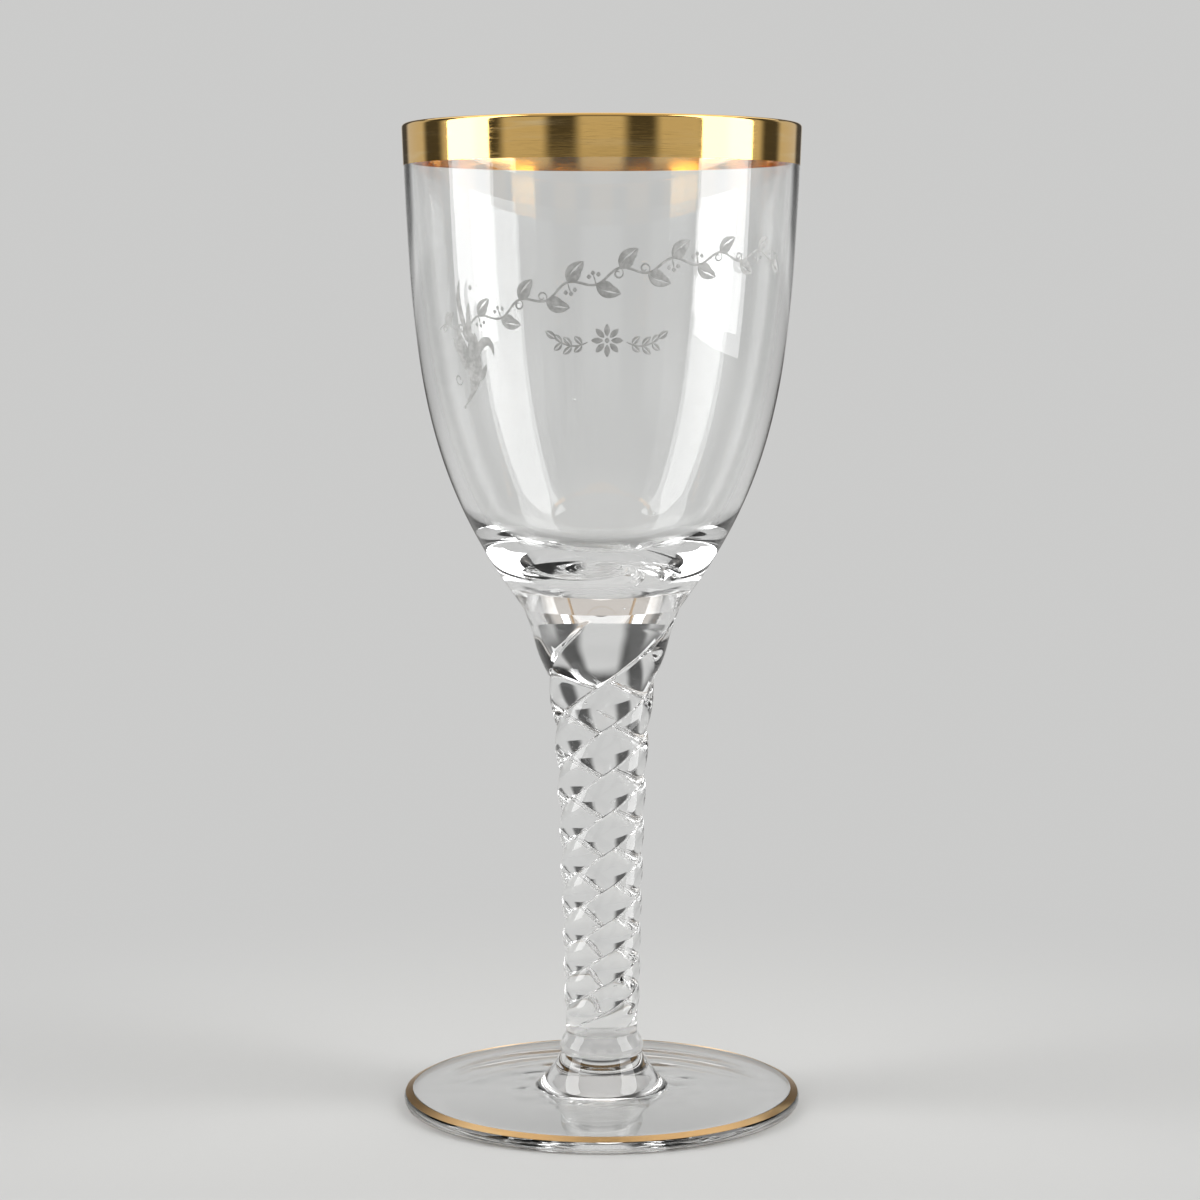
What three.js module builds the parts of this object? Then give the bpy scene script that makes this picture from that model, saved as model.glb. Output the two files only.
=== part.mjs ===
// A stemmed drinking glass with a twisted stem and gilded edges.
//
// The glass is three gathers of clear glass, fused end to end while hot: a bowl with a thick solid
// base, a solid stem twisted into four rope-like lobes, and a thin foot with a small boss. Gold is
// fired on the rim as a band and on the foot as a fine line.
//
// Sizes are millimetres and Z points up. The foot rests on Z = 0, and the Z axis is the glass's own
// axis, so the natural reference point is the middle of the circle that it stands on.

import * as THREE from "three";

// Foot

const footRadius = 35.4;
const footEdgeRound = 1.0;        // rounding of the lower corner of the edge
const footEdgeHeight = 1.5;       // height of the upright part of the edge
const shoulderTop = 2.65;         // height of the disc's top face where the gilded shoulder ends
const shoulderDrop = 0.6;         // how far the gilded shoulder slopes down
const shoulderWidth = 1.25;       // width of the gilded shoulder, seen from above
const shoulderInset = 0.25;       // clear glass between the gilded shoulder and the edge
const restingWidth = 3.6;         // width of the flat ring that touches the table
const undersideHollow = 0.7;      // rise of the underside at the axis
const coneRadius = 12.0;          // where the boss's cone starts to rise from the disc
const coneFoot = 3.0;             // height of the disc's top face there
const coneTop = 9.0;              // height where the cone ends under the bead
const beadRadius = 7.45;          // radius of the bead between the cone and the stem
const beadHeight = 9.9;           // height of its widest turn
const beadLap = 0.2;              // how far the bead stands out over the top of the cone
const footHeight = 12.8;          // height of the plane where foot and stem meet

// Stem

const stemLength = 76.2;
const stemFootRadius = 6.35;      // radius of the fused joint with the foot
const stemBowlRadius = 13.75;     // radius of the fused joint with the bowl
const lobeCount = 4;
const lobeOffset = 0.25;          // how far each lobe's arc is off the axis, as a share of the radius
const lobeSwell = 1.05;           // crest radius of the lobes over the plain radius
const quarterTurnAtFoot = 4.53;   // length of a quarter turn of the twist, at the foot
const quarterTurnAtBowl = 9.6;    // the same at the bowl, where the twist is slower
const firstGroove = 11.2;         // degrees from +X to a groove, at the foot
const slowTwistFrom = 60;         // height above the foot where the twist starts to slow down further
const slowTwistLoss = 0.47;       // quarter turns lost to that at the bowl
const plainAtFoot = 2.6;          // smooth length next to the foot
const plainAtBowl = 2.4;          // smooth length next to the bowl
const fadeAtFoot = 2.6;           // length over which the grooves deepen, at the foot
const fadeAtBowl = 7.5;           // the same at the bowl

// Bowl

const bowlHeight = 84.6;
const rimRadius = 34.85;
const lipThickness = 1.3;
const wallAboveBase = 2.4;        // wall thickness where the cavity starts to round in
const baseThickness = 6.4;        // solid glass between the cavity and the stem
const cavityCorner = 11.5;        // height over which the cavity rounds in to its floor

// Gilding

const gildThickness = 0.12;       // thicker than fired gold, so that it is a solid of its own
const rimBandHeight = 7.1;

// Fineness of the faceted surfaces

const sides = 48;                 // facets round a turned piece
const sideSteps = 12;             // steps down the side of the bowl, outside and inside
const bandSteps = 3;              // steps under the gold band
const cornerSteps = 7;            // steps along the rounded end of the cavity
const lipSteps = 6;               // steps round the lip
const arcSteps = 4;               // steps along a small rounding
const lapSteps = 2;               // steps under the bead's lap
const lobeSides = 9;              // facets across one lobe of the stem
const twistStep = 15;             // degrees of twist from one ring of the stem to the next

// Places that follow from the sizes

const stemTop = footHeight + stemLength;
const rimTop = stemTop + bowlHeight;
const cavityFloor = stemTop + baseThickness;
const restingRadius = footRadius - footEdgeRound;
const gildFootOuter = new THREE.Vector2(footRadius - shoulderInset, shoulderTop - shoulderDrop);
const gildFootInner = new THREE.Vector2(gildFootOuter.x - shoulderWidth, shoulderTop);

// Colours and finishes

const glassLook = { color: 0xe6eae8, roughness: 0.03, metalness: 0, transparent: true, opacity: 0.35 };
const goldLook = { color: 0xc8963c, roughness: 0.25, metalness: 1 };

// A solid of revolution. Its profile is a list of (radius, height) points that runs up the
// outside, starts and ends on the axis or closes on itself, and so gives faces that look out.
function turned(profile) {
  const geometry = new THREE.LatheGeometry(profile, sides);
  geometry.rotateX(Math.PI / 2);
  return geometry;
}

// Points on a quarter ellipse, which leaves the first point level and reaches the second upright.
function quarterTurn(from, to, steps) {
  const points = [];
  for (let step = 0; step <= steps; step += 1) {
    const angle = (step / steps) * (Math.PI / 2);
    points.push(new THREE.Vector2(
      THREE.MathUtils.lerp(from.x, to.x, Math.sin(angle)),
      THREE.MathUtils.lerp(from.y, to.y, 1 - Math.cos(angle)),
    ));
  }
  return points;
}

// A profile moved sideways by a distance that may change along it, square to the profile. A positive
// distance moves it to the left of its direction of travel.
function offsetProfile(points, distanceAt) {
  return points.map((point, index) => {
    const before = points[Math.max(index - 1, 0)];
    const after = points[Math.min(index + 1, points.length - 1)];
    const along = new THREE.Vector2().subVectors(after, before).normalize();
    const left = new THREE.Vector2(-along.y, along.x);
    return point.clone().addScaledVector(left, distanceAt(index / (points.length - 1)));
  });
}

// The outside of the bowl is one cubic curve from the joint up to the lip. Its two handles are
// given as shares of the bowl's height and of the growth in radius, so the side keeps its
// character at any size: nearly upright under the rim, and a cone of about 37 degrees at the base.
const growth = rimRadius - stemBowlRadius;
const bowlSide = new THREE.CubicBezierCurve(
  new THREE.Vector2(stemBowlRadius, stemTop),
  new THREE.Vector2(stemBowlRadius + 0.824 * growth, stemTop + 0.275 * bowlHeight),
  new THREE.Vector2(rimRadius - 0.0735 * growth, rimTop - 0.52 * bowlHeight),
  new THREE.Vector2(rimRadius, rimTop),
);

// The place along a curve where it reaches a given height, found by halving.
function placeAtHeight(curve, height) {
  let low = 0;
  let high = 1;
  for (let step = 0; step < 40; step += 1) {
    const middle = (low + high) / 2;
    if (curve.getPoint(middle).y < height) low = middle;
    else high = middle;
  }
  return (low + high) / 2;
}

// Points up the side of the bowl between two heights, evenly spaced along the curve's own variable.
function sidePoints(fromHeight, toHeight, steps) {
  const start = placeAtHeight(bowlSide, fromHeight);
  const end = placeAtHeight(bowlSide, toHeight);
  const points = [];
  for (let step = 0; step <= steps; step += 1) {
    points.push(bowlSide.getPoint(THREE.MathUtils.lerp(start, end, step / steps)));
  }
  return points;
}

// The outside of the bowl has a ring of points at the lower edge of the gold band, so that the
// band lies on the same facets as the glass under it.
const lipRound = lipThickness / 2;
const bandFoot = rimTop - rimBandHeight;
const lowerSide = sidePoints(stemTop, bandFoot, sideSteps);
const bandSide = sidePoints(bandFoot, rimTop - lipRound, bandSteps);

// The lip is a half round between the outer and the inner wall, fire-polished on a real glass.
function lipPoints() {
  const outer = bandSide[bandSide.length - 1];
  const points = [];
  for (let step = 1; step <= lipSteps; step += 1) {
    const angle = (step / lipSteps) * Math.PI;
    points.push(new THREE.Vector2(
      outer.x - lipRound + lipRound * Math.cos(angle),
      outer.y + lipRound * Math.sin(angle),
    ));
  }
  return points;
}
const lip = lipPoints();

// The inner wall follows the outer one at a distance that grows from the lip to the base, and ends
// where the cavity starts to round in.
function innerWall() {
  const outside = sidePoints(cavityFloor + cavityCorner, rimTop - lipRound, sideSteps);
  const inside = offsetProfile(outside, (share) => (
    THREE.MathUtils.lerp(wallAboveBase, lipThickness, share)
  ));
  inside[inside.length - 1] = lip[lip.length - 1].clone();
  return inside;
}

// The rounded end of the cavity runs on from the wall and comes in level at the axis. The handles
// are shares of the corner's height and of the cavity's radius, and make it round rather than flat.
function cavityEnd(wall) {
  const top = wall[0];
  const down = new THREE.Vector2().subVectors(wall[0], wall[1]).normalize();
  const reach = (top.y - cavityFloor) * 0.7 / Math.abs(down.y);
  const curve = new THREE.CubicBezierCurve(
    new THREE.Vector2(0, cavityFloor),
    new THREE.Vector2(top.x * 0.45, cavityFloor),
    top.clone().addScaledVector(down, reach),
    top,
  );
  return curve.getPoints(cornerSteps);
}

function bowlGeometry() {
  const wall = innerWall();
  const outside = [...lowerSide.slice(0, -1), ...bandSide, ...lip];
  const inside = [...cavityEnd(wall), ...wall.slice(1, -1)].reverse();
  return turned([new THREE.Vector2(0, stemTop), ...outside, ...inside]);
}

// The side of the stem without its lobes: slim and nearly straight above the foot, then opening
// smoothly to meet the bowl. The handles are shares of its length and of its growth in radius.
const stemGrowth = stemBowlRadius - stemFootRadius;
const stemSide = new THREE.CubicBezierCurve(
  new THREE.Vector2(stemFootRadius, 0),
  new THREE.Vector2(stemFootRadius + 0.176 * stemGrowth, 0.9 * stemLength),
  new THREE.Vector2(stemBowlRadius - 0.738 * stemGrowth, 0.79 * stemLength),
  new THREE.Vector2(stemBowlRadius, stemLength),
);

// Quarter turns of a twist whose quarter turn grows evenly longer with the height above the foot,
// which makes the number of turns a logarithm.
const turnGrowth = (quarterTurnAtBowl - quarterTurnAtFoot) / stemLength;
function evenTurnsAt(height) {
  if (turnGrowth === 0) return height / quarterTurnAtFoot;
  return Math.log1p((turnGrowth * height) / quarterTurnAtFoot) / turnGrowth;
}

// The height above the foot where that even twist has made so many quarter turns.
function heightOfEvenTurns(turns) {
  if (turnGrowth === 0) return turns * quarterTurnAtFoot;
  return (Math.expm1(turnGrowth * turns) * quarterTurnAtFoot) / turnGrowth;
}

// Quarter turns made by the real twist, which falls behind the even one near the bowl. What it
// loses grows with the square of the height gone since it began to slow down.
function quarterTurnsAt(height) {
  const share = THREE.MathUtils.clamp((height - slowTwistFrom) / (stemLength - slowTwistFrom), 0, 1);
  return evenTurnsAt(height) - slowTwistLoss * share ** 2;
}

// Depth of the grooves at a height above the foot: none in the smooth ends, full between them.
function grooveDepth(height) {
  const fromFoot = THREE.MathUtils.smoothstep(height, plainAtFoot, plainAtFoot + fadeAtFoot);
  const fromBowl = THREE.MathUtils.smoothstep(stemLength - height, plainAtBowl, plainAtBowl + fadeAtBowl);
  return fromFoot * fromBowl;
}

// Radius of the lobed section at an angle from the middle of a lobe, over its crest radius. Each
// lobe is an arc of a circle whose centre is off the axis, and two arcs meet in a sharp groove.
function lobeShare(angle) {
  const across = lobeOffset * Math.sin(angle);
  return lobeOffset * Math.cos(angle) + Math.sqrt((1 - lobeOffset) ** 2 - across ** 2);
}

// One ring of the stem's points at a height above the foot.
function stemRing(height) {
  const plain = stemSide.getPoint(placeAtHeight(stemSide, height)).x;
  const depth = grooveDepth(height);
  const twist = THREE.MathUtils.degToRad(firstGroove + 90 * quarterTurnsAt(height));
  const lobeAngle = (2 * Math.PI) / lobeCount;
  const ring = [];
  for (let index = 0; index < lobeCount * lobeSides; index += 1) {
    const fromGroove = ((index % lobeSides) / lobeSides) * lobeAngle;
    const share = lobeSwell * lobeShare(fromGroove - lobeAngle / 2);
    const radius = plain * (1 + depth * (share - 1));
    const angle = twist + Math.floor(index / lobeSides) * lobeAngle + fromGroove;
    ring.push([radius * Math.cos(angle), radius * Math.sin(angle), footHeight + height]);
  }
  return ring;
}

// The stem is a stack of rings joined by triangles, with a flat fan of triangles at each end.
function stemGeometry() {
  const turns = evenTurnsAt(stemLength);
  const ringCount = Math.ceil((turns * 90) / twistStep);
  const around = lobeCount * lobeSides;
  const places = [];
  for (let ring = 0; ring <= ringCount; ring += 1) {
    const height = ring === ringCount ? stemLength : heightOfEvenTurns((turns * ring) / ringCount);
    places.push(...stemRing(height));
  }
  const lowest = places.push([0, 0, footHeight]) - 1;
  const highest = places.push([0, 0, stemTop]) - 1;
  const triangles = [];
  for (let index = 0; index < around; index += 1) {
    const next = (index + 1) % around;
    for (let ring = 0; ring < ringCount; ring += 1) {
      const low = ring * around;
      const high = low + around;
      triangles.push(low + index, low + next, high + next);
      triangles.push(low + index, high + next, high + index);
    }
    triangles.push(lowest, next, index);
    triangles.push(highest, ringCount * around + index, ringCount * around + next);
  }
  const geometry = new THREE.BufferGeometry();
  geometry.setAttribute("position", new THREE.Float32BufferAttribute(places.flat(), 3));
  geometry.setIndex(triangles);
  geometry.computeVertexNormals();
  return geometry;
}

// The boss's cone rises from the disc: level for a short way, then nearly straight up to the bead.
const coneEnd = new THREE.Vector2(beadRadius - beadLap, coneTop);
function conePoints() {
  const spread = coneRadius - coneEnd.x;
  const climb = coneTop - coneFoot;
  const curve = new THREE.CubicBezierCurve(
    new THREE.Vector2(coneRadius, coneFoot),
    new THREE.Vector2(coneRadius - 0.17 * spread, coneFoot),
    new THREE.Vector2(coneEnd.x + 0.35 * spread, coneTop - 0.5 * climb),
    coneEnd,
  );
  return curve.getPoints(arcSteps);
}

// The bead laps a little over the cone and narrows to the joint with the stem in one soft curve.
function beadPoints() {
  const widest = new THREE.Vector2(beadRadius, beadHeight);
  const rise = footHeight - beadHeight;
  const narrowing = beadRadius - stemFootRadius;
  const neck = new THREE.CubicBezierCurve(
    widest,
    new THREE.Vector2(beadRadius, beadHeight + 0.45 * rise),
    new THREE.Vector2(stemFootRadius + 0.4 * narrowing, footHeight - 0.3 * rise),
    new THREE.Vector2(stemFootRadius, footHeight),
  );
  return [...quarterTurn(coneEnd, widest, lapSteps), ...neck.getPoints(arcSteps).slice(1)];
}

// The underside is a very shallow dome inside the ring that the glass stands on.
function undersidePoints() {
  const edge = restingRadius - restingWidth;
  const points = [];
  for (let step = 0; step <= arcSteps; step += 1) {
    const share = step / arcSteps;
    points.push(new THREE.Vector2(edge * share, undersideHollow * (1 - share ** 2)));
  }
  return points;
}

function footGeometry() {
  const resting = new THREE.Vector2(restingRadius, 0);
  const edgeBottom = new THREE.Vector2(footRadius, footEdgeRound);
  const edgeTop = new THREE.Vector2(footRadius, footEdgeHeight);
  return turned([
    ...undersidePoints(),
    ...quarterTurn(resting, edgeBottom, arcSteps),
    edgeTop,
    gildFootOuter,
    gildFootInner,
    ...conePoints(),
    ...beadPoints().slice(1),
    new THREE.Vector2(0, footHeight),
  ]);
}

// A coat lies on a stretch of a piece's profile: its inner side is that stretch, point for point, and
// its outer side is the same stretch moved out by the coat's thickness.
function coatGeometry(stretch) {
  const outer = offsetProfile(stretch, () => -gildThickness);
  return turned([...outer, ...stretch.slice().reverse(), outer[0].clone()]);
}

// The rim band runs up the outside of the bowl and over the lip.
function rimGildingGeometry() {
  return coatGeometry([...bandSide, ...lip]);
}

// The foot's line covers the sloping shoulder of the disc.
function footGildingGeometry() {
  return coatGeometry([gildFootOuter, gildFootInner]);
}

function piece(name, geometry, look) {
  const mesh = new THREE.Mesh(geometry, new THREE.MeshStandardMaterial(look));
  mesh.name = name;
  return mesh;
}

const glass = new THREE.Group();
glass.add(
  piece("bowl", bowlGeometry(), glassLook),
  piece("stem", stemGeometry(), glassLook),
  piece("foot", footGeometry(), glassLook),
  piece("rim_gilding", rimGildingGeometry(), goldLook),
  piece("foot_gilding", footGildingGeometry(), goldLook),
);

export default glass;
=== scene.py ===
# %% [markdown]
# # A stemmed glass with a twisted stem and gilded edges
#
# The object is a wine glass of clear, colourless glass, blown and worked by hand. Three gathers of
# glass are fused end to end: a bowl with a thick base, a solid stem that was twisted while it was
# soft, and a thin foot. The rim and the edge of the foot are gilded, and the bowl has a wheel-cut
# decoration.
#
# What the eye sees of a glass is light bent by its walls. So the work goes into true walls, true
# joints and fine meshes, and the materials stay simple.
#
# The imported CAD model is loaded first. It fixes the shape, and the pieces of glass and gold here
# take the place of its nodes.

# %% Load the frame
import bmesh
import bpy
import numpy as np
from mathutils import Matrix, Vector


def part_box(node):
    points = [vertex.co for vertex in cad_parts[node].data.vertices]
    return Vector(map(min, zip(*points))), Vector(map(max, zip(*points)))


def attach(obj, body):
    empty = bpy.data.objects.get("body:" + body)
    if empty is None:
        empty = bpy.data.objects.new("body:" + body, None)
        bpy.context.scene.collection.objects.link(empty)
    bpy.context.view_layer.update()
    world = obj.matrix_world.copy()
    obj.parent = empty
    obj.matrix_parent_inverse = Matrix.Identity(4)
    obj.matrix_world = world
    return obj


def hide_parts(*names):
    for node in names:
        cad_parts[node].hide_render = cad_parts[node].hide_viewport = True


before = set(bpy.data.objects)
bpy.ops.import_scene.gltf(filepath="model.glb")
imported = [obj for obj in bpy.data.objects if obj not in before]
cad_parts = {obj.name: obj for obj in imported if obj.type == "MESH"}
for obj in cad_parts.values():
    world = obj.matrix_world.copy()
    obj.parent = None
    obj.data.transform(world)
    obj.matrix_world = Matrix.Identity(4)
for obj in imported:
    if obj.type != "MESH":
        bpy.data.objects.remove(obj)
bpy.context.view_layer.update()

# %% [markdown]
# ## Sizes
#
# Blender works in metres. The heights of the joints and the rim and the radius of the foot come
# from the frame. The other radii and the curves are repeated here in millimetres, since the frame
# only holds facets.

# %% Sizes
MM = 0.001


def top(node):
    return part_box(node)[1].z


FOOT_TOP = top("foot")
STEM_TOP = top("stem")
RIM_TOP = top("bowl")
RIM_RADIUS = 34.85 * MM
STEM_TOP_RADIUS = 13.75 * MM
STEM_FOOT_RADIUS = 6.35 * MM
FOOT_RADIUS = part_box("foot")[1].x
BAND_FOOT = RIM_TOP - 7.1 * MM
print("tops of foot, stem and bowl:", [round(z / MM, 2) for z in (FOOT_TOP, STEM_TOP, RIM_TOP)])

# %% [markdown]
# ## Surfaces from two parameters
#
# Every piece of this glass is a skin over rings of points: a ring for each step up the profile,
# and a point for each step round the ring. A lathe would do for the plain pieces, but the stem
# needs rings that turn and change shape. A profile that starts or ends on the axis gets a single
# point there, which closes the pole, and a coat's rings join end to end like a bent tube.

# %% Skinning rings of points
ROUND = 240        # points round a turned piece


def ring_faces(rows, columns, joined):
    """Corners of the four-sided faces between each ring and the next, facing out."""
    row = np.arange(rows if joined else rows - 1)[:, None]
    column = np.arange(columns)[None, :]
    low, high = row * columns, ((row + 1) % rows) * columns
    after = (column + 1) % columns
    return np.stack([low + column, low + after, high + after, high + column], -1).reshape(-1, 4)


def skin(rings, poles=(None, None), joined=False):
    """Points and faces over rings shaped (rows, columns, 3), with a fan of faces to each pole."""
    rows, columns, _ = rings.shape
    points = rings.reshape(-1, 3)
    faces = ring_faces(rows, columns, joined).tolist()
    column = np.arange(columns)
    after = (column + 1) % columns
    fans = (poles[0], 0, (after, column)), (poles[1], rows - 1, (column, after))
    for pole, ring, order in fans:
        if pole is None:
            continue
        tip = np.full(columns, len(points))
        points = np.vstack([points, pole])
        first, second = (ring * columns + side for side in order)
        faces += np.stack([first, second, tip], -1).tolist()
    return points, faces


def make_mesh(name, *skins):
    """One mesh from several skins, each with its faces' numbers moved past the points before it."""
    start = np.cumsum([0] + [len(points) for points, _ in skins])
    faces = [
        [corner + first for corner in face]
        for first, (_, part) in zip(start.tolist(), skins)
        for face in part
    ]
    mesh = bpy.data.meshes.new(name)
    mesh.from_pydata(np.vstack([points for points, _ in skins]).tolist(), [], faces)
    mesh.update()
    return mesh


def turned_rings(radius, height, columns=ROUND):
    """Rings of a solid of revolution: each profile point (radius, height) goes round the Z axis."""
    angle = np.linspace(0, 2 * np.pi, columns, endpoint=False)
    x = radius[:, None] * np.cos(angle)
    y = radius[:, None] * np.sin(angle)
    z = np.broadcast_to(height[:, None], x.shape)
    return np.stack([x, y, z], -1)


def place(mesh, node, slot, materials, crease=30):
    """Puts a finished mesh in the scene on the root body, in place of a CAD node."""
    mesh.shade_smooth()
    mesh.set_sharp_from_angle(angle=np.radians(crease))
    for material in materials:
        mesh.materials.append(material)
    piece = bpy.data.objects.new(mesh.name, mesh)
    bpy.context.scene.collection.objects.link(piece)
    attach(piece, "root")
    if node:
        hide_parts(node)
    triangles = sum(len(face.vertices) - 2 for face in mesh.polygons)
    print(f"{mesh.name}: {len(mesh.vertices)} points, {triangles} triangles")


# %% [markdown]
# ## Curves for the profiles
#
# Blown glass has no corners, so most of a profile is cubic curves: four points, of which the
# middle two only pull. The differences between a path's points give its direction, and a quarter
# turn of that gives the way from the outer wall to the inner one.

# %% Curves
def cubic(points, t):
    """A cubic Bezier curve: each corner point weighted by its term of (1 - t + t) cubed."""
    t = np.asarray(t)[:, None]
    a, b, c, d = (np.asarray(point, float) for point in points)
    return (1 - t) ** 3 * a + 3 * (1 - t) ** 2 * t * b + 3 * (1 - t) * t ** 2 * c + t ** 3 * d


def sweep(points, steps):
    """A whole cubic curve, in even steps of its own variable."""
    return cubic(points, np.linspace(0, 1, steps))


def pulled(start, end, near_start, near_end):
    """Four points for a curve. Each handle lies off its end by shares of the way across and up."""
    start, end = np.asarray(start), np.asarray(end)
    way = end - start
    return start, start + way * near_start, end - way * near_end, end


def straight(start, end, steps):
    """Evenly spaced points on a line: the start, plus a share of the way to the end."""
    return start + (end - start) * np.linspace(0, 1, steps)[:, None]


def left_of(path):
    """Unit vectors to the left of a path's direction of travel, from its points' differences."""
    along = np.gradient(path, axis=0)
    along /= np.linalg.norm(along, axis=1)[:, None]
    return np.stack([-along[:, 1], along[:, 0]], -1)


def quarter(start, end, steps):
    """A quarter ellipse that leaves level, arrives upright: out as the sine, up as 1 - cosine."""
    angle = np.linspace(0, np.pi / 2, steps)
    start, end = np.asarray(start), np.asarray(end)
    return start + (end - start) * np.stack([np.sin(angle), 1 - np.cos(angle)], -1)


def smooth(value, low, high):
    """0 below low, 1 above high, and the curve 3x² - 2x³ in between."""
    share = np.clip((value - low) / (high - low), 0, 1)
    return share ** 2 * (3 - 2 * share)


# %% [markdown]
# ## Shader arithmetic
#
# A material is a tree of nodes. Written out it is hard to read, so a small class wraps a node's
# output, and arithmetic on it adds Math nodes. Every other node comes from one method, which takes
# the node's type, its settings, and what goes into its sockets.

# %% Shader arithmetic
class Wire:
    """A node's output that can be added, multiplied and so on. Each operation is a Math node."""

    def __init__(self, finish, socket):
        self.finish = finish
        self.socket = socket

    def __add__(self, other):
        return self.finish.math("ADD", self, other)

    def __radd__(self, other):
        return self.finish.math("ADD", other, self)

    def __sub__(self, other):
        return self.finish.math("SUBTRACT", self, other)

    def __rsub__(self, other):
        return self.finish.math("SUBTRACT", other, self)

    def __mul__(self, other):
        return self.finish.math("MULTIPLY", self, other)

    def __rmul__(self, other):
        return self.finish.math("MULTIPLY", other, self)

    def between(self, low, high):
        """0 at low, 1 at high, smooth in between."""
        inputs = {"Value": self, "From Min": low, "From Max": high}
        return self.finish.node("ShaderNodeMapRange", {"interpolation_type": "SMOOTHSTEP"}, inputs)


class Finish:
    """The node tree of a new material, of the world, or of a lamp that is given."""

    def __init__(self, name, kind="Material", owner=None):
        self.kind = kind
        library = bpy.data.worlds if kind == "World" else bpy.data.materials
        self.owner = owner or library.new(name)
        self.owner.use_nodes = True
        self.tree = self.owner.node_tree
        self.tree.nodes.clear()

    def node(self, kind, settings=None, inputs=None, output=0):
        """Adds a node, sets it up, fills its sockets with values or wires, and gives one output."""
        node = self.tree.nodes.new(kind)
        for key, value in (settings or {}).items():
            setattr(node, key, value)
        for key, value in (inputs or {}).items():
            if isinstance(value, Wire):
                self.tree.links.new(value.socket, node.inputs[key])
            else:
                node.inputs[key].default_value = value
        return Wire(self, node.outputs[output]) if output is not None else None

    def math(self, operation, *values):
        """A Math node, for the wires' operators and for what has no operator."""
        return self.node("ShaderNodeMath", {"operation": operation}, dict(enumerate(values)))

    def place(self):
        """Where a point lies on the piece, in metres."""
        return self.node("ShaderNodeTexCoord", output="Object")

    def axes(self, place):
        """The three parts of a place or direction, as three wires."""
        inputs = {"Vector": place}
        return [self.node("ShaderNodeSeparateXYZ", {}, inputs, output=axis) for axis in "XYZ"]

    def noise(self, scale, squeeze=1.0, detail=2.0, roughness=0.5):
        """Grains of about 1 / scale metres. Along Z they are squeezed, or drawn out below 1."""
        place = self.place()
        if squeeze != 1.0:
            place = self.node("ShaderNodeMapping", {}, {"Vector": place, "Scale": (1, 1, squeeze)})
        inputs = {"Vector": place, "Scale": scale, "Detail": detail, "Roughness": roughness}
        return self.node("ShaderNodeTexNoise", {}, inputs)

    def bump(self, height, distance):
        """A slope for the Normal socket: the height, from 0 to 1, stands for the distance."""
        return self.node("ShaderNodeBump", {}, {"Height": height, "Distance": distance})

    def mix(self, share, first, second):
        """A colour between two others."""
        settings = {"data_type": "RGBA"}
        return self.node("ShaderNodeMix", settings, {0: share, 6: first, 7: second}, output=2)

    def shade(self, shader):
        """Ends the tree with a shader, and gives what the tree belongs to."""
        self.node("ShaderNodeOutput" + self.kind, {}, {"Surface": shader}, output=None)
        return self.owner


# %% [markdown]
# ## Clear glass
#
# Soda or potash glass of this age bends light by about 1.52 and has hardly any tint. Worked by
# hand, its faces ripple by a few hundredths of a millimetre, which makes reflections wander: that
# is a bump of broad, soft noise. Handling leaves a faint bloom, a little roughness here and there.
# The one matt place is under the foot, where the pontil, the iron that held the glass, left a scar
# that was ground flat.
#
# Where two gathers are fused there is no surface at all: light goes straight on. Each piece is
# still a closed skin, so the faces in the joint plane get a material that lets light through
# unbent. Without it, the joint would look like a thin sheet of air and mirror at flat angles.

# %% Glass
GLASS_BENDING = 1.52
GLASS_TINT = (0.986, 0.990, 0.988, 1)
SMEAR_SCALE, SMEAR_SQUEEZE, SMEAR_EDGE = 45.0, 0.45, (0.5, 0.75)
PONTIL_RADIUS, PONTIL_TOP, PONTIL_EDGE = 6.3 * MM, 1.2 * MM, 0.3 * MM
PONTIL_WANDER = 1.2 * MM        # how far grain moves the scar's edge in and out
PONTIL_GRAIN, PONTIL_MATT = 500.0, 0.5


def ground_pontil(finish):
    """1 on the underside within the scar's radius, with an edge that grain makes uneven."""
    across, along, up = finish.axes(finish.place())
    out = finish.math("SQRT", across * across + along * along)
    uneven = out + PONTIL_WANDER * (finish.noise(PONTIL_GRAIN, detail=3.0) - 0.5)
    inside = 1 - uneven.between(PONTIL_RADIUS - PONTIL_EDGE, PONTIL_RADIUS + PONTIL_EDGE)
    return inside * (1 - up.between(PONTIL_TOP - PONTIL_EDGE, PONTIL_TOP))


def clear_glass(name, ripple_size, ripple_depth, bloom, pontil=False):
    """Clear glass that ripples by a depth, with bloom as its roughness where hands smeared it."""
    finish = Finish(name)
    ripple = finish.noise(1 / ripple_size, detail=1.0)
    smear = finish.noise(SMEAR_SCALE, SMEAR_SQUEEZE, detail=3.0).between(*SMEAR_EDGE)
    roughness = bloom * smear
    if pontil:
        roughness = roughness + PONTIL_MATT * ground_pontil(finish)
    glass = finish.node("ShaderNodeBsdfPrincipled", {}, {
        "Base Color": GLASS_TINT,
        "Roughness": roughness,
        "IOR": GLASS_BENDING,
        "Transmission Weight": 1.0,
        "Normal": finish.bump(ripple, ripple_depth),
    })
    return finish.shade(glass)


BOWL_GLASS = clear_glass("bowl_glass", 18 * MM, 0.02 * MM, 0.006)
STEM_GLASS = clear_glass("stem_glass", 5 * MM, 0.02 * MM, 0.004)
FOOT_GLASS = clear_glass("foot_glass", 9 * MM, 0.03 * MM, 0.010, pontil=True)
joint = Finish("fused_joint")
JOINT = joint.shade(joint.node("ShaderNodeBsdfTransparent"))
print("finishes:", [finish.name for finish in (BOWL_GLASS, STEM_GLASS, FOOT_GLASS, JOINT)])

# %% Faces in a joint
JOINT_REACH = 0.001 * MM        # how near its plane a face lies
JOINT_LEVEL = 0.999             # how nearly upright its normal stands


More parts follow.
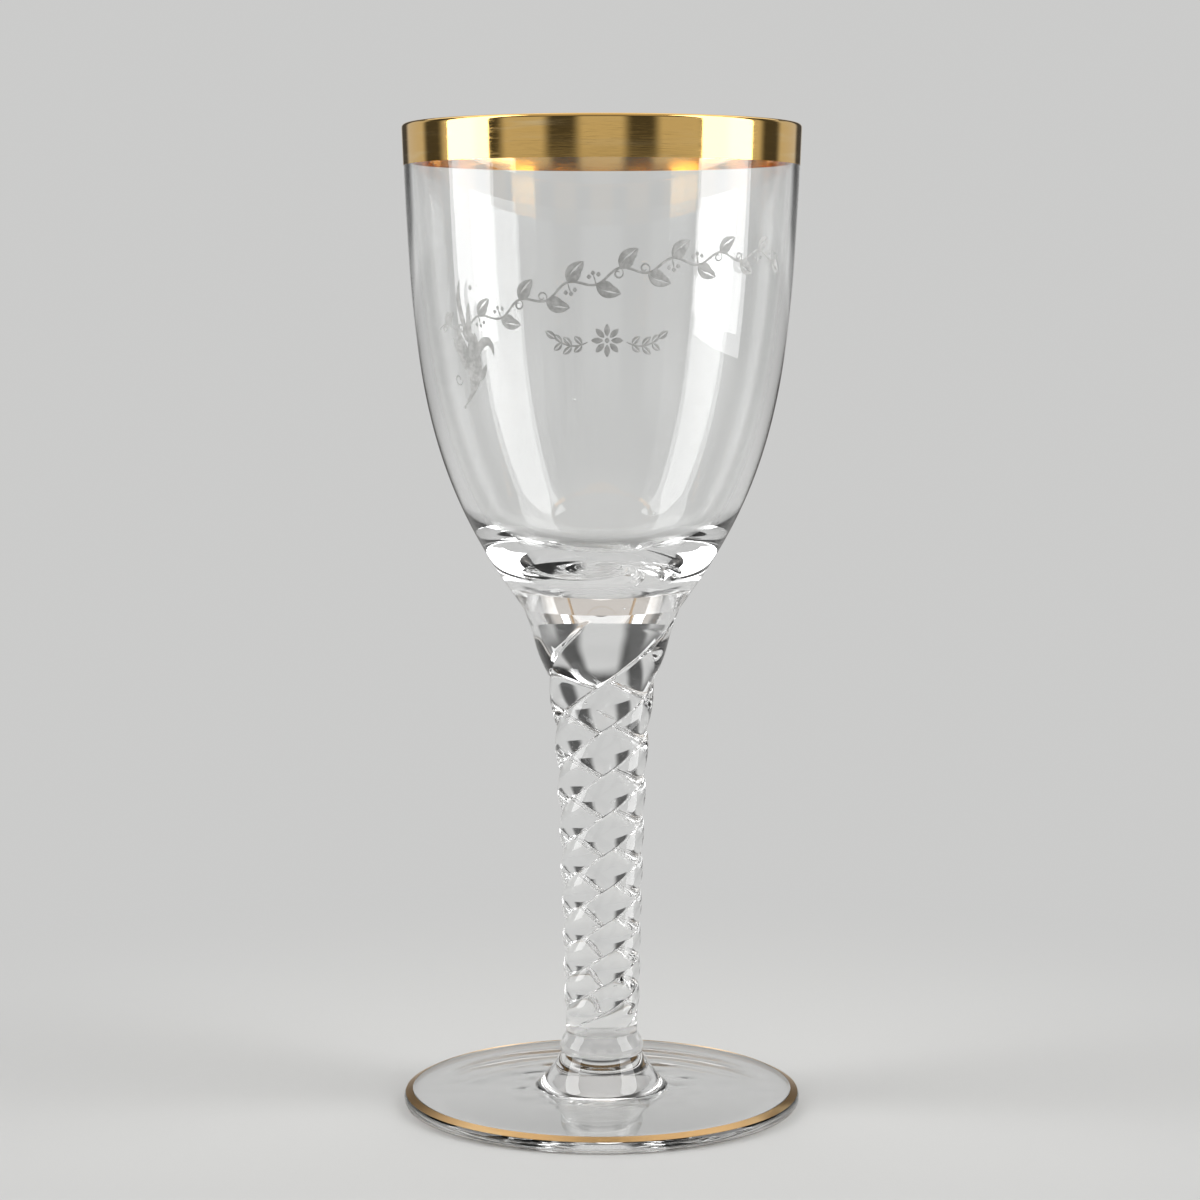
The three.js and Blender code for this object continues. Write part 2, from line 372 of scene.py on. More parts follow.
def mark_joint(mesh, height):
    """Gives the flat faces in a joint plane the joint's material, which is the second slot."""
    faces = mesh.polygons
    centres, normals = np.empty((2, len(faces) * 3), np.float32)
    slots = np.empty(len(faces), np.int32)
    for key, values in (("center", centres), ("normal", normals), ("material_index", slots)):
        faces.foreach_get(key, values)
    in_plane = np.abs(centres[2::3] - height) < JOINT_REACH
    joint = in_plane & (np.abs(normals[2::3]) > JOINT_LEVEL)
    slots[joint] = 1
    faces.foreach_set("material_index", slots)
    print(f"{mesh.name}: {np.sum(joint)} faces in the joint {height / MM:.1f} mm up")


# %% [markdown]
# ## The bowl
#
# The bowl was blown, so its outside is one sweep from the stem to the rim: a cone at the base that
# rounds into nearly upright walls. The wall thins from the base up to the lip, and a thick plug of
# glass is left between the cavity and the stem. The heated lip has run into a half round.
#
# The inner wall is the outer one moved inwards, square to the curve, by a thickness that grows on
# the way down. The cavity's end is a curve that leaves the wall in its own direction and comes in
# level at the axis. How deep it reaches and how round it is decides what the thick base shows,
# because the base works as a lens: the cavity's floor appears in it as a bright standing eye.
# Turning the hot glass on its iron has left a faint swirl in that floor: a wave a few hundredths
# of a millimetre high, whose crests run outwards as two spiral arms.

# %% Side of the bowl
BASE_PULL, RIM_PULL = (0.824, 0.275), (0.0735, 0.52)
BOWL_SIDE = pulled((STEM_TOP_RADIUS, STEM_TOP), (RIM_RADIUS, RIM_TOP), BASE_PULL, RIM_PULL)
side = sweep(BOWL_SIDE, 2001)


def side_radius(height):
    """Radius of the outside of the bowl at a height, read off the side's curve."""
    return np.interp(height, side[:, 1], side[:, 0])


def side_stretch(low, high, steps):
    """Points up the side between two heights, evenly spaced along the curve's own variable."""
    t = np.interp([low, high], side[:, 1], np.linspace(0, 1, len(side)))
    return cubic(BOWL_SIDE, np.linspace(*t, steps))


print(f"half way up the bowl's radius is {side_radius((STEM_TOP + RIM_TOP) / 2) / MM:.1f} mm")

# %% Section of the bowl
LIP = 1.3 * MM
WALL_LOW = 2.4 * MM
CAVITY_FLOOR = STEM_TOP + 6.4 * MM
CAVITY_CORNER = 11.5 * MM
WALL_PULL = 0.70        # handle on the wall's side, as a share of the corner's height
FLOOR_PULL = 0.45       # handle on the floor's side, as a share of the cavity's radius
LIP_STEPS, OUTSIDE_STEPS, WALL_STEPS, FLOOR_STEPS = 16, 110, 100, 110

lip_start = side_stretch(RIM_TOP - LIP / 2, RIM_TOP, 2)[0]
turn = np.linspace(0, np.pi, LIP_STEPS + 1)[1:]
lip_arc = lip_start - (LIP / 2, 0) + LIP / 2 * np.stack([np.cos(turn), np.sin(turn)], -1)


def bowl_profile():
    """Up the outside, over the lip, down the inner wall and in along the cavity's floor."""
    outside = side_stretch(STEM_TOP, lip_start[1], OUTSIDE_STEPS)
    wall = side_stretch(CAVITY_FLOOR + CAVITY_CORNER, lip_start[1], WALL_STEPS)
    thickness = np.linspace(WALL_LOW, LIP, len(wall))[:, None]
    wall = wall + left_of(wall) * thickness
    wall[-1] = lip_arc[-1]
    down = (wall[0] - wall[1]) / np.linalg.norm(wall[0] - wall[1])
    reach_down = (wall[0][1] - CAVITY_FLOOR) * WALL_PULL / abs(down[1])
    floor = sweep([
        wall[0],
        wall[0] + down * reach_down,
        (wall[0][0] * FLOOR_PULL, CAVITY_FLOOR),
        (0, CAVITY_FLOOR),
    ], FLOOR_STEPS)
    return np.vstack([outside, lip_arc, wall[::-1][1:], floor[1:-1]])


bowl_section = bowl_profile()
print(f"the bowl's section has {len(bowl_section)} points")

# %% The bowl
SWIRL, SWIRL_PITCH, SWIRL_ARMS = 0.03 * MM, 1.5 * MM, 2
SWIRL_FADE = 5.5 * MM, 9.5 * MM
INSIDE = STEM_TOP + 1 * MM, STEM_TOP + 2 * MM       # the joint lies below, the floor above


def swirled_floor(rings):
    """Adds a spiral wave, the sine of 2 pi r / pitch + arms times the bearing, to the floor."""
    out = np.hypot(rings[..., 0], rings[..., 1])
    bearing = np.arctan2(rings[..., 1], rings[..., 0])
    on_floor = smooth(rings[..., 2], *INSIDE) * smooth(out, 0, SWIRL_PITCH)
    near = on_floor * (1 - smooth(out, *SWIRL_FADE))
    rings[..., 2] += SWIRL * near * np.sin(2 * np.pi * out / SWIRL_PITCH + SWIRL_ARMS * bearing)
    return rings


bowl_rings = swirled_floor(turned_rings(*bowl_section.T))
bowl_skin = skin(bowl_rings, poles=((0, 0, STEM_TOP), (0, 0, CAVITY_FLOOR)))
bowl_mesh = make_mesh("glass_bowl", bowl_skin)
mark_joint(bowl_mesh, STEM_TOP)
place(bowl_mesh, "bowl", "clear_glass", [BOWL_GLASS, JOINT])

# %% [markdown]
# ## The engraving
#
# The engraver held the bowl against a small turning wheel. Each touch of it leaves a matt cut that
# is narrow at both ends, and a drawing is built from such cuts: two for a leaf, one for a petal, a
# long thin one for a stalk. The design is plain and of old kinds: a garland that climbs across the
# front, a rosette between two sprigs below it, and a leaf that hangs at the left.
#
# The cuts could be painted on the glass with a mask, but then their shapes would live only in the
# material. So each cut is a thin closed piece set into the surface. It is drawn flat first, as a
# path and a width, on paper that is then wrapped round the bowl.

# %% A cut of the wheel
PAPER_RADIUS = 33.5 * MM
CUT_FACE, CUT_EDGE, CUT_BACK = 0.02 * MM, -0.01 * MM, -0.05 * MM
CUT_LAYER = 0.003 * MM      # how far a cut is lifted off one that it crosses
CUT_SECTION = np.array([
    (-1, CUT_EDGE), (-0.8, CUT_FACE), (-0.27, CUT_FACE), (0.27, CUT_FACE),
    (0.8, CUT_FACE), (1, CUT_EDGE), (0.5, CUT_BACK), (-0.5, CUT_BACK),
])


def wrap(flat, lift):
    """Paper on the bowl: x becomes an angle from the front, y a height, and lift goes outwards."""
    bearing = flat[..., 0] * MM / PAPER_RADIUS
    height = flat[..., 1] * MM
    radius = side_radius(height)
    lean = (side_radius(height + MM) - side_radius(height - MM)) / (2 * MM)
    square = 1 / np.sqrt(1 + lean ** 2)
    radius = radius + lift * square
    height = height - lift * lean * square
    return np.stack([radius * np.sin(bearing), -radius * np.cos(bearing), height], -1)


def cut(path, width, fullness=0.75, layer=0):
    """One touch of the wheel: a section carried along a path, wide by a power of a half sine."""
    share = np.linspace(0, 1, len(path))[1:-1]
    half = width / 2 * np.sin(np.pi * share) ** fullness
    sideways = left_of(path)[1:-1, None] * (half[:, None] * CUT_SECTION[:, 0])[..., None]
    off = layer * CUT_LAYER
    lift = np.broadcast_to(CUT_SECTION[:, 1] + off, sideways.shape[:2])
    rings = wrap(path[1:-1, None] + sideways, lift)
    ends = wrap(path[[0, -1]], np.full(2, CUT_EDGE + off))
    return skin(rings, poles=(ends[0], ends[1]))


print(f"a cut is {(CUT_FACE - CUT_BACK) / MM:.2f} mm thick")

# %% Leaves, dots and tendrils
LEAF_CUT = 0.52         # width of each of a leaf's two cuts, as a share of the leaf's
DOT_STEPS = 11
CURL_TURN, CURL_CLOSES, CURL_WIDTH = 2.2 * np.pi, 0.72, 0.32


def turned_by(direction, degrees):
    """A flat direction turned to the left."""
    angle = np.radians(degrees)
    (x, y), cos, sin = direction, np.cos(angle), np.sin(angle)
    return np.array([x * cos - y * sin, x * sin + y * cos])


def leaf(base, direction, length, width, bend=0):
    """Two cuts side by side with a clear rib between them. The tip is turned aside by the bend."""
    base, direction = np.asarray(base, float), np.asarray(direction) / np.linalg.norm(direction)
    tip_way = turned_by(direction, bend)
    tip = base + (direction + tip_way) * length / 2
    cuts = []
    for side in (-1, 1):
        out = turned_by(direction, 90) * side * width / 2
        middle = [base + direction * length / 3 + out, tip - tip_way * length / 3 + out]
        cuts.append(cut(sweep([base, *middle, tip], 15), width * LEAF_CUT))
    return cuts


def dot(centre, size):
    """A round touch of the wheel: a short path, as wide as it is long."""
    x = centre[0] + np.linspace(-size / 2, size / 2, DOT_STEPS)
    return cut(np.stack([x, np.full(DOT_STEPS, centre[1])], -1), size, fullness=0.9)


def curl(start, direction, size, side):
    """A tendril: a circle whose radius shrinks evenly with the turn, to the left for side 1."""
    turn = np.linspace(0, CURL_TURN, 40)
    radius = size * (1 - CURL_CLOSES * turn / turn[-1])
    way = np.arctan2(direction[1], direction[0]) - side * np.pi / 2 + side * turn
    inwards = turned_by(np.asarray(direction) / np.linalg.norm(direction), 90 * side)
    centre = np.asarray(start) + inwards * size
    path = centre + radius[:, None] * np.stack([np.cos(way), np.sin(way)], -1)
    return cut(path, CURL_WIDTH, fullness=0.4)


# %% [markdown]
# The garland's stalk is a wave carried along a climbing curve. At each crest and trough a large and
# a small leaf go off ahead, and across from them a tendril or three berries. All are placed by
# their share of the way along the stalk, so they keep their distance where the curve is steep.

# %% Garland
GARLAND = [(-33.5, 138.2), (-14, 138.6), (-6, 151.2), (36.5, 150.8)]
GARLAND_WAVES = 8
WAVE_HEIGHT = 0.85
STALK_WIDTH = 0.42
SIZE_AT_ENDS, SIZE_GAIN = 0.72, 0.28        # the middle leaves are the largest
GARLAND_LEAVES = (52, 4.6, 1.9, -34), (16, 3.2, 1.3, 20)    # angle, length, width and bend
TENDRIL_ANGLE, TENDRIL_SIZE = -30, 0.95
BERRY, BERRY_STALK, BERRY_STALK_WIDTH = 0.8, 1.7, 0.25
BERRY_OUT, BERRY_DROP, BERRY_SPREAD = 2.0, 0.45, 0.8


def along(path, shares):
    """Points at given shares of a path's length."""
    gone = np.concatenate([[0], np.cumsum(np.linalg.norm(np.diff(path, axis=0), axis=1))])
    return np.stack([np.interp(np.asarray(shares) * gone[-1], gone, axis) for axis in path.T], -1)


def line_cut(start, end, steps, width, fullness=0.75):
    """A straight cut between two places on the paper."""
    return cut(along(np.array([start, end]), np.linspace(0, 1, steps)), width, fullness)


def garland():
    """The stalk, and at each crest and trough two leaves and a tendril or three berries."""
    middle = along(sweep(GARLAND, 400), np.linspace(0, 1, 321))
    wave = WAVE_HEIGHT * np.sin(np.linspace(0, 2 * np.pi * GARLAND_WAVES, len(middle)))
    stalk = middle + left_of(middle) * wave[:, None]
    cuts = [cut(stalk, STALK_WIDTH, fullness=0.15)]
    forward = left_of(stalk)[:, ::-1] * (1, -1)
    for index in range(2 * GARLAND_WAVES):
        place_on = round((index + 0.5) / (2 * GARLAND_WAVES) * (len(stalk) - 1))
        base, ahead = stalk[place_on], forward[place_on]
        side = 1 if index % 2 == 0 else -1
        size = SIZE_AT_ENDS + SIZE_GAIN * np.sin(np.pi * (index + 0.5) / (2 * GARLAND_WAVES))
        for angle, length, width, bend in GARLAND_LEAVES:
            way = turned_by(ahead, angle * side)
            cuts += leaf(base, way, length * size, width * size, bend * side)
        across = turned_by(ahead, -90 * side)
        if index % 4 < 2:
            way = turned_by(ahead, TENDRIL_ANGLE * side)
            cuts.append(curl(base, way, TENDRIL_SIZE * size, -side))
        else:
            tip = base + across * BERRY_STALK * size
            cuts.append(line_cut(base, tip, 7, BERRY_STALK_WIDTH, 0.3))
            for spread in (-1, 0, 1):
                berry = base + across * (BERRY_OUT - BERRY_DROP * abs(spread)) * size
                cuts.append(dot(berry + ahead * BERRY_SPREAD * spread, BERRY * size))
    return cuts


garland_cuts = garland()
print(f"the garland has {len(garland_cuts)} cuts")


# %% [markdown]
# The sprigs beside the rosette mirror each other. The hanging leaf is of a kind that carvers have
# used for centuries: a stem that swells downwards, lobes that curl away to both sides, and a tail.
# Its cuts cross, and faces in one place would look patchy, so each cut lies a hair above the last.

# %% Rosette
ROSETTE, ROSETTE_DOT = np.array([0.9, 136.6]), 0.9
PETALS, PETAL_FROM, PETAL_TO, PETAL_WIDTH = 8, 0.65, 2.75, 1.0
SPRIG_FROM, SPRIG_WIDTH = (3.2, -0.2), 0.3
SPRIG_STALK = (0, 0), (2.0, -1.1), (4.0, -0.9), (5.6, 0.5)
SPRIG_TIP = 2.2, 0.95                                   # a leaf's length and width
SPRIG_PAIRS = (0.2, 1.9), (0.5, 2.1), (0.8, 1.9)        # share of the way up the stalk, length
PAIR_WIDTH, PAIR_BEND = 0.85, 18


def rosette():
    """Petals round a dot, and on each side a stalk with a leaf at its tip and three pairs."""
    cuts = [dot(ROSETTE, ROSETTE_DOT)]
    for petal in range(PETALS):
        way = turned_by((0, 1), 360 / PETALS * petal)
        ends = ROSETTE + way * PETAL_FROM, ROSETTE + way * PETAL_TO
        cuts.append(line_cut(*ends, 11, PETAL_WIDTH))
    for side in (-1, 1):
        start = ROSETTE + (SPRIG_FROM[0] * side, SPRIG_FROM[1])
        sprig = sweep([start + (x * side, y) for x, y in SPRIG_STALK], 31)
        cuts.append(cut(sprig, SPRIG_WIDTH, fullness=0.3))
        cuts += leaf(sprig[-1], (side, 0.7), *SPRIG_TIP)
        for share, length in SPRIG_PAIRS:
            base = along(sprig, [share])[0]
            cuts += leaf(base, (side * 0.7, 1), length, PAIR_WIDTH, -PAIR_BEND * side)
            cuts += leaf(base, (side * 0.8, -1), length, PAIR_WIDTH, PAIR_BEND * side)
    return cuts


rosette_cuts = rosette()
print(f"the rosette has {len(rosette_cuts)} cuts")

# %% Hanging leaf
HANGING = np.array([-25.0, 0.0])


def hanging_leaf():
    """The stem, lobes and curls, each as four points that pull a curve, and a width."""
    strokes = [
        ([(-1.5, 146.8), (-2.9, 143.5), (-2.0, 140.6), (0.2, 135.6)], 1.2),
        ([(0.3, 142.9), (-0.4, 140.5), (-0.1, 138.5), (0.4, 135.0)], 1.15),
        ([(0.1, 138.0), (0.6, 134.5), (1.2, 130.6), (-1.4, 127.0)], 3.3),
        ([(0.3, 131.0), (0.4, 128.6), (-1.4, 127.0), (-3.5, 125.4)], 0.9),
        ([(0.5, 133.0), (-1.4, 133.6), (-2.4, 136.0), (-3.2, 138.8)], 1.8),
        ([(0.2, 132.2), (-1.8, 133.0), (-3.4, 134.6), (-4.5, 137.0)], 1.5),
        ([(0.3, 131.2), (-1.0, 131.4), (-2.2, 132.4), (-3.2, 134.2)], 1.3),
        ([(0.7, 133.2), (0.9, 134.8), (1.4, 136.0), (1.1, 137.8)], 1.5),
        ([(0.6, 131.6), (1.4, 136.2), (4.8, 138.4), (5.1, 133.9)], 1.6),
        ([(0.4, 129.6), (1.6, 130.2), (2.6, 131.0), (3.3, 132.6)], 1.3),
        ([(0.1, 130.5), (-0.5, 130.4), (-1.0, 130.9), (-1.4, 131.6)], 0.8),
        ([(0.0, 129.4), (-0.5, 129.2), (-0.9, 129.6), (-1.2, 130.2)], 0.7),
    ]
    cuts = [
        cut(sweep(points, 25) + HANGING, width, layer=layer)
        for layer, (points, width) in enumerate(strokes, 1)
    ]
    tail = curl(HANGING + (-3.1, 129.9), (0, -1), 1.1, -1)
    return [*cuts, tail, dot(HANGING + (-3.6, 125.2), 0.7), dot(HANGING + (0.8, 145.3), 0.9)]


hanging_cuts = hanging_leaf()
print(f"the hanging leaf has {len(hanging_cuts)} cuts")

# %% [markdown]
# A cut is matt, because the wheel leaves the glass full of tiny chips. It could be rough glass, but
# that nearly vanishes in front of a pale room. So a cut is a grey surface that scatters light, with
# the chips as fine grain, and that lets a little light through where the wheel touched lightly.

# %% Frosted cuts
CHIPS, CLOUDS = 900.0, 220.0
CUT_DARK, CUT_PALE = (0.42, 0.42, 0.41, 1), (0.60, 0.60, 0.59, 1)
CHIP_DEPTH = 0.02 * MM


def frosted_cut():
    """Chips of noise drive colour, roughness and bump, and broader clouds the alpha."""
    finish = Finish("frosted_cut")
    grain = finish.noise(CHIPS, detail=3.0, roughness=0.7)
    cloud = finish.noise(CLOUDS, detail=2.0)
    matt = finish.node("ShaderNodeBsdfPrincipled", {}, {
        "Base Color": finish.mix(grain.between(0.3, 0.7), CUT_DARK, CUT_PALE),
        "Roughness": 0.45 + 0.3 * grain,
        "IOR": GLASS_BENDING,
        "Alpha": 0.80 + 0.18 * cloud.between(0.3, 0.6),
        "Normal": finish.bump(grain, CHIP_DEPTH),
    })
    return finish.shade(matt)


engraving_mesh = make_mesh("engraving", *garland_cuts, *rosette_cuts, *hanging_cuts)
shell = bmesh.new()
shell.from_mesh(engraving_mesh)
bmesh.ops.recalc_face_normals(shell, faces=shell.faces)
shell.to_mesh(engraving_mesh)
shell.free()
place(engraving_mesh, None, "clear_glass", [frosted_cut()], crease=60)

# %% [markdown]
# ## The stem
#
# A rod of glass was pressed in a mould with four flutes and twisted while it was soft, so it looks
# like a rope of four strands. Seen in section it is four arcs, and where two of them meet the
# twisting has drawn the glass into a fine crease, which shines as a double line along each groove.
# The glassmaker pulled as they turned: the strands lie closer near the foot and climb more steeply
# near the bowl, where the rod opens out and was too cool to follow the last turn.
#
# A modifier would twist a straight bar evenly. So each ring of points is placed by a formula. Its
# radius comes from the stem's side, from the four arcs, whose meeting is rounded by a hair, and
# from a narrow bell curve for the crease. The turn comes from a logarithm, because the height of a
# quarter turn grows evenly, less a square near the bowl.

# %% Twist and section of the stem
LOBES = 4
LOBE_OFFSET = 0.25      # from the axis to the centre of an arc, as a share of the stem's radius
LOBE_SWELL = 1.05
GROOVE_ROUND = np.radians(0.9)
QUARTER_AT_FOOT, QUARTER_AT_BOWL = 4.53 * MM, 9.6 * MM
SLOW_FROM, SLOW_LOSS = 60.0 * MM, 0.47

stem_length = STEM_TOP - FOOT_TOP


def quarter_turns(height):
    """Quarter turns made by the twist: log(1 + g h / q) / g, where g is how fast a turn grows.
    Above SLOW_FROM it loses more and more, as the square of the share of the way to the bowl."""
    grows = (QUARTER_AT_BOWL - QUARTER_AT_FOOT) / stem_length
    steady = np.log1p(grows * height / QUARTER_AT_FOOT) / grows
    slow = np.clip((height - SLOW_FROM) / (stem_length - SLOW_FROM), 0, 1)
    return steady - SLOW_LOSS * slow ** 2


def lobe_section(angle):
    """Distance to one arc from the axis: an arc of radius 1 - d round a centre d off the axis.
    Next to the groove the angle follows a hyperbola, so two arcs meet in a tiny round."""
    half = np.pi / LOBES
    angle = half - np.hypot(half - np.abs(angle), GROOVE_ROUND)
    across = LOBE_OFFSET * np.sin(angle)
    return LOBE_OFFSET * np.cos(angle) + np.sqrt((1 - LOBE_OFFSET) ** 2 - across ** 2)


print(f"the stem turns {quarter_turns(stem_length) / 4:.2f} times in {stem_length / MM:.1f} mm")

# %% The stem
FIRST_GROOVE = np.radians(11.2)
LOWER_PULL, UPPER_PULL = (0.176, 0.9), (0.738, 0.21)
LOBES_AT_FOOT = 2.6 * MM, 5.2 * MM      # distances from the foot or the bowl, plain to full
LOBES_AT_BOWL = 2.4 * MM, 9.9 * MM
CREASE_DEPTH = 0.036
CREASE_WIDTH = np.radians(2.4)
CREASE_AT_FOOT = 1.6 * MM, 3.6 * MM
CREASE_AT_BOWL = 0.8 * MM, 3.8 * MM
ACROSS_LOBE = 64
GATHERED = 0.13         # how strongly the points crowd towards a groove
STEM_RINGS = 380


def stem_rings():
    """Rings up the stem: the plain radius, swelled by the arcs, cut by the crease's bell curve."""
    heights = np.linspace(0, stem_length, STEM_RINGS)
    from_bowl = stem_length - heights
    ends = (STEM_FOOT_RADIUS, 0), (STEM_TOP_RADIUS, stem_length)
    curve = sweep(pulled(*ends, LOWER_PULL, UPPER_PULL), 1001)
    plain = np.interp(heights, curve[:, 1], curve[:, 0])[:, None]
    depth = (smooth(heights, *LOBES_AT_FOOT) * smooth(from_bowl, *LOBES_AT_BOWL))[:, None]
    lobe = 2 * np.pi / LOBES
    across = np.linspace(0, 1, ACROSS_LOBE, endpoint=False)
    across = (across - np.sin(2 * np.pi * across) * GATHERED) * lobe
    share = LOBE_SWELL * lobe_section(across - lobe / 2)
    crease = smooth(heights, *CREASE_AT_FOOT) * smooth(from_bowl, *CREASE_AT_BOWL)
    from_groove = lobe / 2 - np.abs(across - lobe / 2)
    notch = np.tile(CREASE_DEPTH * np.exp(-(from_groove / CREASE_WIDTH) ** 2), LOBES)
    radius = plain * (1 + depth * (np.tile(share, LOBES) - 1) - crease[:, None] * notch)
    angle = (np.arange(LOBES)[:, None] * lobe + across).ravel()
    angle = angle + FIRST_GROOVE + quarter_turns(heights)[:, None] * np.pi / 2
    z = np.broadcast_to((FOOT_TOP + heights)[:, None], radius.shape)
    return np.stack([radius * np.cos(angle), radius * np.sin(angle), z], -1)


stem_mesh = make_mesh("glass_stem", skin(stem_rings(), poles=((0, 0, FOOT_TOP), (0, 0, STEM_TOP))))
mark_joint(stem_mesh, FOOT_TOP)
mark_joint(stem_mesh, STEM_TOP)
place(stem_mesh, "stem", "clear_glass", [STEM_GLASS, JOINT], crease=40)

# %% [markdown]
# ## The foot
#
# The foot was dropped on as a gather, pressed thin and turned to a disc. Its edge is fire-polished
# and its top slopes down at the very edge, where the gold line sits. In the middle a small boss
# rises to the stem: a nearly straight cone, and a rounded bead that laps over the top of it. The
# underside is slightly hollow, so the glass stands on a ring and doesn't rock.
#
# Round the boss the tool that pressed the hot glass left the disc uneven. Two crossed pairs of
# waves, less than a tenth of a millimetre high and fading outwards, bend the light in patches.

# %% Section of the foot
EDGE_ROUND = 1.0 * MM
EDGE_HEIGHT = 1.5 * MM
SHOULDER_OUT = np.array([FOOT_RADIUS - 0.25 * MM, 2.05 * MM])
SHOULDER_IN = np.array([FOOT_RADIUS - 1.5 * MM, 2.65 * MM])
RESTING_RADIUS = FOOT_RADIUS - EDGE_ROUND
HOLLOW_RADIUS = RESTING_RADIUS - 3.6 * MM
HOLLOW = 0.7 * MM
CONE_FOOT = np.array([12.0 * MM, 3.0 * MM])
BEAD_FOOT = np.array([7.25 * MM, 9.0 * MM])
BEAD = np.array([7.45 * MM, 9.9 * MM])
EDGE_PULL, SHOULDER_PULL = 0.2 * MM, (0.12 * MM, -0.2 * MM)
CONE_PULLS = (0.17, 0), (0.35, 0.5)
NECK_PULLS = (0, 0.45), (0.4, 0.3)


def foot_profile():
    """Out along the underside, round the edge, in over the top and up the cone and the bead.
    The hollow underside is a parabola: its height falls with the square of the radius."""
    share = np.linspace(0, 1, 24)[1:]
    underside = np.stack([HOLLOW_RADIUS * share, HOLLOW * (1 - share ** 2)], -1)
    edge = quarter((RESTING_RADIUS, 0.0), (FOOT_RADIUS, EDGE_ROUND), 12)
    upper_edge = sweep([
        (FOOT_RADIUS, EDGE_HEIGHT - EDGE_PULL),
        (FOOT_RADIUS, EDGE_HEIGHT + EDGE_PULL),
        SHOULDER_OUT + SHOULDER_PULL,
        SHOULDER_OUT,
    ], 8)
    shoulder = straight(SHOULDER_OUT, SHOULDER_IN, 14)[1:]
    disc = straight(SHOULDER_IN, CONE_FOOT, 64)[1:]
    cone = sweep(pulled(CONE_FOOT, BEAD_FOOT, *CONE_PULLS), 30)[1:]
    lap = quarter(BEAD_FOOT, BEAD, 8)[1:]
    neck = sweep(pulled(BEAD, (STEM_FOOT_RADIUS, FOOT_TOP), *NECK_PULLS), 26)[1:]
    return np.vstack([underside, edge, upper_edge, shoulder, disc, cone, lap, neck])


foot_section = foot_profile()
print(f"the foot's section has {len(foot_section)} points")

# %% The foot
UNEVEN = 0.07 * MM
UNEVEN_FROM = CONE_FOOT[0], CONE_FOOT[0] + 0.8 * MM
UNEVEN_TO = 14.0 * MM, 20.0 * MM
TOP_ABOVE = 2.4 * MM, 2.7 * MM
WAVES = [        # strength, and for each of two sines its turn per mm along X and Y and its start
    (1.0, (0.5, 0.2, 0.0), (-0.2, 0.5, 1.0)),
    (0.4, (0.4, 0.8, 2.0), (-0.7, 0.3, 0.0)),
]


def uneven_top(rings):
    """Adds the sum of two products of crossed sine waves to the heights of the disc's top."""
    x, y = rings[..., 0] / MM, rings[..., 1] / MM
    out = np.hypot(rings[..., 0], rings[..., 1])
    on_top = smooth(rings[..., 2], *TOP_ABOVE) * smooth(out, *UNEVEN_FROM)
    near = on_top * (1 - smooth(out, *UNEVEN_TO))
    waves = 0
    for strength, *pair in WAVES:
        first, second = (np.sin(a * x + b * y + start) for a, b, start in pair)
        waves = waves + strength * first * second
    rings[..., 2] += UNEVEN * near * waves
    return rings


foot_rings = uneven_top(turned_rings(*foot_section.T))
foot_mesh = make_mesh("glass_foot", skin(foot_rings, poles=((0, 0, HOLLOW), (0, 0, FOOT_TOP))))
mark_joint(foot_mesh, FOOT_TOP)
place(foot_mesh, "foot", "clear_glass", [FOOT_GLASS, JOINT])

# %% [markdown]
# ## Seeds
#
# Old glass holds a few seeds: tiny bubbles caught in the melt. In the bowl they stay round, and in
# the stem the twist drew them out to threads. Each is an ellipsoid laid along a direction.

# %% Seeds
SEEDS = [        # middle, direction, length and width, all in millimetres
    ((-4.6, -31.2, 126.8), (0, 0, 1), 0.60, 0.55),
    ((-17.2, -27.0, 122.5), (0, 0, 1), 0.40, 0.36),
    ((8.8, -24.6, 107.4), (1, 0, 0.3), 0.60, 0.40),
    ((12.4, -15.1, 98.2), (1, 0.2, 0.3), 0.55, 0.42),
    ((-6.3, -9.0, 93.6), (1, 0, -0.4), 0.70, 0.45),
    ((3.4, -8.2, 91.3), (0, 0, 1), 0.45, 0.40),
    ((0.6, -5.2, 71.0), (1, 0.05, -0.5), 3.0, 0.40),
    ((-2.2, -5.0, 72.6), (1, 0.05, -0.5), 0.60, 0.45),
    ((1.6, -4.8, 55.4), (1, 0.05, 0.5), 1.3, 0.28),
    ((-1.2, -3.9, 33.0), (1, 0.05, 0.45), 0.9, 0.26),
    ((2.2, -3.4, 21.5), (1, 0, 0.4), 0.6, 0.26),
]
SEED_RINGS, SEED_ROUND = 11, 16


def seed(middle, direction, length, width):
    """Half a circle, scaled to length and width, turned round Z and laid along a direction."""
    turn = np.linspace(0, np.pi, SEED_RINGS + 2)[1:-1]
    rings = turned_rings(width / 2 * np.sin(turn), -length / 2 * np.cos(turn), SEED_ROUND)
    points, faces = skin(rings, poles=((0, 0, -length / 2), (0, 0, length / 2)))
    ahead = np.asarray(direction) / np.linalg.norm(direction)
    aside = np.cross((0, 1, 0), ahead)
    aside /= np.linalg.norm(aside)
    axes = np.array([aside, np.cross(ahead, aside), ahead])
    return (middle + points @ axes) * MM, faces


SEED_GLASS = clear_glass("seed_glass", 2 * MM, 0.01 * MM, 0.004)
seeds_mesh = make_mesh("seeds", *[seed(*numbers) for numbers in SEEDS])
place(seeds_mesh, None, "clear_glass", [SEED_GLASS])
